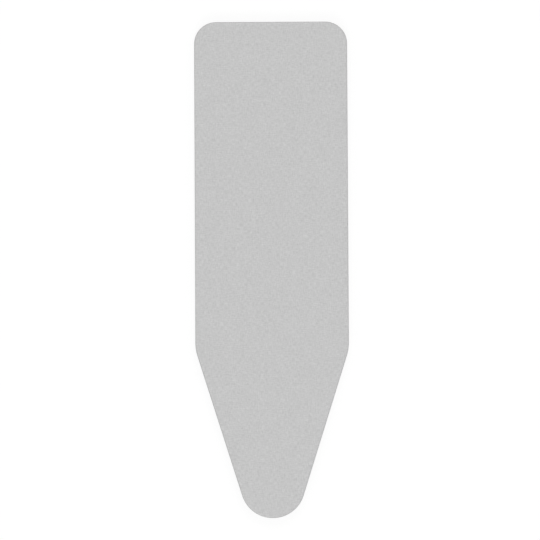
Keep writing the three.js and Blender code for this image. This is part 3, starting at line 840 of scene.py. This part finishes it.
def swellAt(p):
    soft = 0.0
    for share, wavesX, wavesY, shift in cloth["swellWaves"]:
        soft += share * noise(Vector((p.x * wavesX, p.y * wavesY, shift)))
    even, uneven = cloth["swellShares"]
    return cloth["swell"] * (even + uneven * soft)

def towardsSpine(p, share):
    return p.lerp(Vector((0, min(max(p.y, noseCentre.y), cloth["spineEndY"]))), share)

def topRow(share, depth):
    row, uvRow = [], []
    for p in wholePlan(cloth["edgeRadius"]):
        at = towardsSpine(p, share)
        fade = ease((at - p).length, 0, cloth["swellFade"])
        row.append(Vector((*at, topZ + fade * swellAt(at) - depth)))
        uvRow.append(at[:])
    return row, uvRow

def makeCover():
    thickness = cloth["thickness"]
    rows = [topRow(share, 0) for share in cloth["topShares"]]
    rows += [clothRow(run, 0) for run in sectionRuns(cloth["rows"])]
    rows += [clothRow(run, thickness) for run in sectionRuns(cloth["innerRows"])[::-1]]
    rows += [topRow(share, thickness) for share in cloth["innerShares"]]
    cover = gridPiece("coverCloth", *zip(*rows))
    dress(cover, cottonFinish, "metallised_cotton", "top_cover")
    return cover

coverCloth = makeCover()
print("cover cloth made")


# Foam and felt under the cloth

pads = {
    "foamPad": {"node": "foam_layer", "finish": foamFinish, "slot": "foam", "wave": 0.12 * mm, "fill": 0.9},
    "feltPad": {"node": "felt_layer", "finish": feltFinish, "slot": "felt", "wave": 0.28 * mm, "fill": 0.8},
}
padCut = {
    "side": 1.1 * mm,  # clear of the outline: the cloth and a gap
    "round": 0.9 * mm,  # of the lower edge
    "topInset": 0.2 * mm,
    "stationStep": 2,
    "wayIn": (1.0, 0.85, 0.7, 0.56, 0.43, 0.31, 0.2, 0.11, 0.04),  # shares of it, to the middle line
    "roundRows": 4,
    "sideRows": 6,
    "lumps": [(1.0, 38, 90, 0), (0.6, 120, 0, 7)],  # share, waves to a metre across and up, shift
    "lumpShares": (0.6, 0.5),  # of a pad's wave, even and uneven
    "under": 1.0,  # how much of the wave each face has
    "edge": 0.2,
    "top": -0.5,
}

def padInset(height):
    above = max(0, height - (topZ - cloth["edgeRadius"]))
    radius = cloth["edgeRadius"] - padCut["side"]
    return cloth["edgeRadius"] - sqrt(max(0, radius ** 2 - above ** 2))

def padRow(inset, height, share, lift):
    row = []
    even, uneven = padCut["lumpShares"]
    for p in wholePlan(inset)[::padCut["stationStep"]]:
        at = towardsSpine(p, share)
        lump = 0.0
        for amount, across, up, shift in padCut["lumps"]:
            lump += amount * noise(Vector((at.x * across, at.y * across, height * up + shift)))
        row.append(Vector((*at, height + lift * (even + uneven * lump))))
    return row

def makePad(name):
    work, bend = pads[name], padCut["round"]
    low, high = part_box(work["node"])
    wave, lowInset = work["wave"], padInset(low.z)
    rows = [padRow(lowInset + bend, low.z, share, padCut["under"] * wave) for share in padCut["wayIn"]]
    for share in shares(padCut["roundRows"]):
        angle = pi / 2 * share
        inset, height = lowInset + bend * (1 - sin(angle)), low.z + bend * (1 - cos(angle))
        rows.append(padRow(inset, height, 0, padCut["edge"] * wave))
    for share in shares(padCut["sideRows"])[1:]:
        height = mix(low.z + bend, high.z, sin(pi / 2 * share))
        rows.append(padRow(padInset(height), height, 0, 0))
    topInset = padInset(high.z) + padCut["topInset"]
    rows += [padRow(topInset, high.z, share, padCut["top"] * wave) for share in padCut["wayIn"][::-1]]
    pad = gridPiece(name, rows, [[v[:2] for v in row] for row in rows])
    dress(pad, work["finish"], work["slot"], work["node"])

for padName in pads:
    makePad(padName)
print("foam and felt made")


# Bound hem: folded tape in three lengths, and its stitching

tape = {
    "thickness": 0.8 * mm,
    "legZ": 1.1 * mm,  # middle of each leg from the middle of the hem
    "foldRadius": 2.2 * mm,  # middle of the tape round the cord
    "legSteps": 4,
    "foldSteps": 18,
    "joinFromEnd": 110 * mm,
    "lap": 9 * mm,  # the corner lengths lap over the long one
    "lapLift": 0.75 * mm,
    "lapRun": (4 * mm, 16 * mm),  # from a corner length's end, where it comes up to the cloth
    "stitchInsets": (44.2 * mm, 50.4 * mm),
    "stitchPitch": 3.3 * mm,
    "stitch": (2.7 * mm, 0.5 * mm, 0.42 * mm),  # length, width and height
    "tackInsets": (43.4 * mm, 52.4 * mm),
    "tackSteps": 4,
    "tackPitch": 1.1 * mm,
    "tack": (1.2 * mm, 0.5 * mm, 0.42 * mm),
    "threadProud": 0.05 * mm,  # middle of the thread from the face of the tape
}
threadAskew = 0.1
joinY = endY - tape["joinFromEnd"]
lapY = joinY - tape["lap"]

# (inset, height) along the folded tape's middle, from its lower edge to its upper
def tapeProfile(lift):
    radius, leg = tape["foldRadius"] + lift, tape["legZ"] + lift
    outer, centre = plan["bindingInset"], cordLay["inset"]
    start = pi - asin(leg / radius)
    legEnd = centre + radius * cos(start)
    steps = shares(tape["legSteps"])
    profile = [(mix(outer, legEnd, share), -leg) for share in steps[:-1]]
    for share in shares(tape["foldSteps"]):
        angle = mix(-start, start, share)
        profile.append((centre + radius * cos(angle), radius * sin(angle)))
    return profile + [(mix(legEnd, outer, share), leg) for share in steps[1:]]

def lapDrop(y):  # of a corner length's end below the long one
    return tape["lapLift"] * (1 - ease(y - lapY, *tape["lapRun"]))

def makeTape(name, node, stations, lapped):
    rows, uvRows, run, last = [], [], 0.0, wholeHem[stations[0]]
    for k in stations:
        run += (wholeHem[k] - last).length
        last = wholeHem[k]
        profile = tapeProfile(lapDrop(last.y) if lapped else 0.0)
        row, uvRow, girth, before = [], [], 0.0, profile[0]
        for inset, height in profile:
            girth += dist((inset, height), before)
            before = (inset, height)
            row.append(Vector((*wholePlan(inset)[k], plan["hemZ"] + height + tapeLift(k, inset))))
            uvRow.append((run, girth))
        rows.append(row)
        uvRows.append(uvRow)
    binding = gridPiece(name, rows, uvRows, closed=False)
    modify(binding, "SOLIDIFY", thickness=tape["thickness"], offset=0)
    closeUp(binding)
    dress(binding, tapeFinish, "tape", node)
    return binding

# one stitch, modelled once: a short thread that dips at both ends
def stitchShape(length, width, height):
    clearSelection()
    bpy.ops.mesh.primitive_uv_sphere_add(segments=6, ring_count=5, radius=1)
    seed = bpy.context.object
    editWhole(seed)
    bpy.ops.transform.rotate(value=pi / 2, orient_axis="Y", center_override=(0, 0, 0))
    bpy.ops.transform.resize(value=(length / 2, width / 2, height / 2), center_override=(0, 0, 0))
    leaveEdit()
    corners = [v.co.copy() for v in seed.data.vertices]
    faces = [tuple(p.vertices) for p in seed.data.polygons]
    bpy.data.objects.remove(seed)
    return corners, faces

# stitches along lines of points on a face that looks down
def sew(name, lines, pitch, size):
    corners, faces = stitchShape(*size)
    points, allFaces = [], []
    for line in lines:
        total = sum((b - a).length for a, b in zip(line, line[1:]))
        count = max(1, round(total / pitch))
        walked, k = 0.0, 0
        for n in range(count):
            goal = (n + 0.5) * total / count
            while k < len(line) - 2 and walked + (line[k + 1] - line[k]).length < goal:
                walked += (line[k + 1] - line[k]).length
                k += 1
            way = (line[k + 1] - line[k]).normalized()
            at = line[k] + way * (goal - walked)
            sideways = Vector((0, 0, 1)).cross(way).normalized()
            upright = way.cross(sideways)
            along, across = way - sideways * threadAskew, sideways + way * threadAskew
            first = len(points)
            points += [at + along * c.x + across * c.y + upright * c.z for c in corners]
            allFaces += [tuple(first + i for i in face) for face in faces]
    seam = meshPiece(name, points, allFaces)
    closeUp(seam)
    dress(seam, threadFinish, "tape")
    return seam

def sewnPoints(inset, stations):  # where thread lies under the bound edge
    line, points = wholePlan(inset), []
    face = plan["hemZ"] - tape["legZ"] - tape["thickness"] / 2 - tape["threadProud"]
    for k in stations:
        y = wholeHem[k].y
        drop = lapDrop(y) if y > lapY else 0
        points.append(Vector((*line[k], face - drop + tapeLift(k, inset))))
    return points

def bindHem():
    bound = hemStations()
    rightEnd = [k for k in bound if k <= halfCount and wholeHem[k].y > lapY]
    leftEnd = [k for k in bound if k > halfCount and wholeHem[k].y > lapY]
    longRun = [k for k in bound if wholeHem[k].y < joinY]
    seams = [sewnPoints(inset, bound) for inset in tape["stitchInsets"]]
    tapeEnds = (rightEnd[1], rightEnd[-2], leftEnd[1], leftEnd[-2])
    tackInsets = [mix(*tape["tackInsets"], share) for share in shares(tape["tackSteps"])]
    tacks = zip(*[sewnPoints(inset, tapeEnds) for inset in tackInsets])
    return [
        makeTape("hemTapeRight", "hem_binding_end_right", rightEnd, True),
        makeTape("hemTapeLong", "hem_binding", longRun, False),
        makeTape("hemTapeLeft", "hem_binding_end_left", leftEnd, True),
        sew("hemStitches", seams, tape["stitchPitch"], tape["stitch"]),
        sew("hemTacks", tacks, tape["tackPitch"], tape["tack"]),
    ]

hemPieces = bindHem()
print("hem bound and sewn")


# Cord lock

mergeGap = 0.002 * mm  # for the points of a solid

def mouldedCopy(node, name):  # a merged copy of a solid, to be worked on
    piece = bpy.data.objects.new(name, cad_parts[node].data.copy())
    bpy.context.collection.objects.link(piece)
    editWhole(piece)
    bpy.ops.mesh.remove_doubles(threshold=mergeGap)
    bpy.ops.mesh.dissolve_limited(angle_limit=radians(1))
    leaveEdit()
    return piece

def roundEdges(piece, radius, segments=3, angle=35):
    modify(piece, "BEVEL", width=radius, segments=segments, limit_method="ANGLE",
           angle_limit=radians(angle))
    editWhole(piece)
    bpy.ops.mesh.remove_doubles(threshold=mergeGap)  # where a rounding had no room
    leaveEdit()
    bpy.ops.object.shade_smooth_by_angle(angle=radians(40))

def weldBlock(piece, operation, middle, size):  # joins a block to a piece or cuts it out
    clearSelection()
    bpy.ops.mesh.primitive_cube_add(size=1, location=middle, scale=size)
    block = bpy.context.object
    bpy.ops.object.transform_apply()
    modify(piece, "BOOLEAN", operation=operation, object=block)
    bpy.data.objects.remove(block)

lock = {
    "edge": 0.45 * mm,
    "pressEnd": 0.1 * mm,  # how near to the end the face to press on is
    "dishInset": 1.5 * mm,
    "dishDepth": 0.7 * mm,
    "grooves": 4,  # to grip the barrel by, above and below
    "grooveFromEnd": 2.7 * mm,
    "groovePitch": 2.1 * mm,
    "grooveSize": (1.1 * mm, 11.5 * mm, 0.8 * mm),
    "grooveEdge": 0.15 * mm,
}

def makeBarrel():
    barrel = mouldedCopy("cord_lock_body", "lockBarrel")
    roundEdges(barrel, lock["edge"])
    for k in range(lock["grooves"]):
        x = lockLow.x + lock["grooveFromEnd"] + k * lock["groovePitch"]
        for z in (lockLow.z, lockHigh.z):
            weldBlock(barrel, "DIFFERENCE", (x, (lockLow.y + lockHigh.y) / 2, z), lock["grooveSize"])
    roundEdges(barrel, lock["grooveEdge"], segments=2, angle=50)
    dress(barrel, lockFinish, "lock", "cord_lock_body", body="cord_lock")

def makeButton():
    button = mouldedCopy("cord_lock_plunger", "lockButton")
    reach = max(v.co.x for v in button.data.vertices) - lock["pressEnd"]
    editWhole(button)
    bpy.ops.mesh.select_all(action="DESELECT")
    bpy.ops.mesh.select_mode(type="FACE")
    leaveEdit()
    for face in button.data.polygons:
        face.select = face.center.x > reach
    bpy.ops.object.mode_set(mode="EDIT")
    bpy.ops.mesh.inset(thickness=lock["dishInset"])
    bpy.ops.mesh.extrude_region_move(TRANSFORM_OT_translate={"value": (-lock["dishDepth"], 0, 0)})
    leaveEdit()
    roundEdges(button, lock["edge"])
    dress(button, buttonFinish, "button", "cord_lock_plunger", body="lock_plunger")

spring = {
    "turns": 4.5,
    "wire": 0.35 * mm,  # radius
    "press": 3.5 * mm,
    "steps": 154,
    "sides": 10,
}

def makeSpring():
    low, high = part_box("cord_lock_spring")
    middle, wire = (low + high) / 2, spring["wire"]
    radius = (high.z - low.z) / 2 - wire
    path = []
    for share in shares(spring["steps"]):
        angle = 2 * pi * spring["turns"] * share
        path.append(Vector((mix(low.x + wire, high.x - wire, share), middle.y + radius * cos(angle),
                            middle.z + radius * sin(angle))))
    coil = tube("lockSpring", path, wire, spring["sides"])
    dress(coil, steelFinish, "spring_steel", "cord_lock_spring", body="cord_lock")
    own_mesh(coil)

makeBarrel()
makeButton()
makeSpring()
print("cord lock made")


# Elastic straps and their hooks

hookWork = {
    "edge": 0.4 * mm,
    "lipOut": 7.3 * mm,  # from the hem out to the end of the jaws
    "ribs": (2.7 * mm, 4.7 * mm, 6.7 * mm),  # in from the hem, to grip the tongue by
    "ribSize": (0.9 * mm, 22 * mm, 1.2 * mm),
}

def makeHook(node, name):
    low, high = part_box(node)
    inwards = 1 if low.x < 0 else -1
    hemX = (low.x if inwards > 0 else high.x) + inwards * hookWork["lipOut"]
    hook = mouldedCopy(node, name)
    for run in hookWork["ribs"]:
        weldBlock(hook, "UNION", (hemX + inwards * run, (low.y + high.y) / 2, low.z), hookWork["ribSize"])
    roundEdges(hook, hookWork["edge"])
    dress(hook, hookFinish, "hook", node)
    return hemX

strap = {
    "thickness": 1.2 * mm,
    "width": 25 * mm,
    "ribs": 20,
    "ribHeight": 0.16 * mm,
    "ribSteps": 4,
    "bandZ": 8.6 * mm,
    "foldZ": 7.1 * mm,
    "underZ": 5.2 * mm,
    "barStart": 10.4 * mm,  # the hook's bar, in from the hem
    "barEnd": 13.4 * mm,
    "plate": (6.1 * mm, 7.7 * mm),  # heights of the bar's lower and upper face
    "off": 0.9 * mm,  # middle of the strap from the bar
    "foldRise": 5 * mm,
    "foldBack": 24 * mm,
    "foldSteps": 10,
    "bendSteps": 8,
    "spanSteps": 40,
    "sewnBox": (4 * mm, 20 * mm),  # from the start of the folded end
    "sewnHalf": 9 * mm,  # half its width
    "stitchPitch": 2.5 * mm,
    "stitch": (2.1 * mm, 0.5 * mm, 0.45 * mm),
    "threadProud": 0.08 * mm,
}
foldStart = strap["barEnd"] + strap["off"] + strap["foldRise"]  # of the folded end, in from the hem

# (run in from the hem, height): folded end, under the bar, up through the slot and over the bar
def strapEnd():
    off, bends = strap["off"], shares(strap["bendSteps"])
    tip, riseStart = foldStart + strap["foldBack"], strap["barEnd"] + off
    path = [(mix(tip, foldStart, share), strap["foldZ"]) for share in shares(strap["foldSteps"])]
    for share in bends[1:]:
        height = mix(strap["foldZ"], strap["underZ"], ease(share))
        path.append((mix(foldStart, riseStart, share), height))
    for face, start in zip(strap["plate"], (1.5, 1.0)):  # two quarter turns round the edge of the bar
        for share in bends:
            angle = pi * (start - 0.5 * share)
            path.append((strap["barStart"] + off * cos(angle), face + off * sin(angle)))
    return path

def strapSection():  # (across, up) once round the strap: ribs on both faces
    face = []
    for share in shares(strap["ribs"] * strap["ribSteps"]):
        crest = abs(sin(pi * strap["ribs"] * share))
        up = strap["thickness"] / 2 - strap["ribHeight"] * (1 - crest)
        face.append((strap["width"] * (share - 0.5), up))
    return face + [(across, -up) for across, up in reversed(face)]

def boxStitch(hemX, inwards, middleY):  # lines of a sewn box with a cross in it
    z = strap["foldZ"] - strap["thickness"] / 2 - strap["threadProud"]
    near, far = [hemX + inwards * (foldStart + run) for run in strap["sewnBox"]]
    low, high = middleY - strap["sewnHalf"], middleY + strap["sewnHalf"]
    box = [Vector((x, y, z)) for x, y in ((near, low), (far, low), (far, high), (near, high))]
    return [[box[a], box[b]] for a, b in ((0, 1), (1, 2), (2, 3), (3, 0), (0, 2), (1, 3))]

def makeStrap(node, name, leftX, rightX):
    middleY = middleOf(node).y
    left = [(leftX + run, z) for run, z in strapEnd()]
    right = [(rightX - run, z) for run, z in strapEnd()]
    along = shares(strap["spanSteps"])[1:-1]
    span = [(mix(left[-1][0], right[-1][0], share), strap["bandZ"]) for share in along]
    line = left + span + right[::-1]
    last, section = len(line) - 1, strapSection()
    rows, uvRows, run = [], [], 0.0
    for k, (x, z) in enumerate(line):
        before, after = line[max(k - 1, 0)], line[min(k + 1, last)]
        run += dist((x, z), before)
        way = Vector((after[0] - before[0], after[1] - before[1])).normalized()
        rings = {0: [0.0, 1.0], last: [1.0, 0.0]}.get(k, [1.0])  # a flat ring shuts each end
        for full in rings:
            rows.append([Vector((x - way.y * up * full, middleY + across, z + way.x * up * full))
                         for across, up in section])
            uvRows.append([(run, across) for across, up in section])
    band = gridPiece(name, rows, uvRows)
    bpy.ops.object.shade_smooth_by_angle(angle=radians(60))
    dress(band, strapFinish, "strap", node)
    lines = boxStitch(leftX, 1, middleY) + boxStitch(rightX, -1, middleY)
    sew(name + "Stitches", lines, strap["stitchPitch"], strap["stitch"])

for place, title in (("wide_end", "WideEnd"), ("shoulder", "Shoulder")):
    leftX = makeHook(f"hook_{place}_left", f"hook{title}Left")
    rightX = makeHook(f"hook_{place}_right", f"hook{title}Right")
    makeStrap(f"strap_{place}", f"strap{title}", leftX, rightX)
print("straps and hooks made")
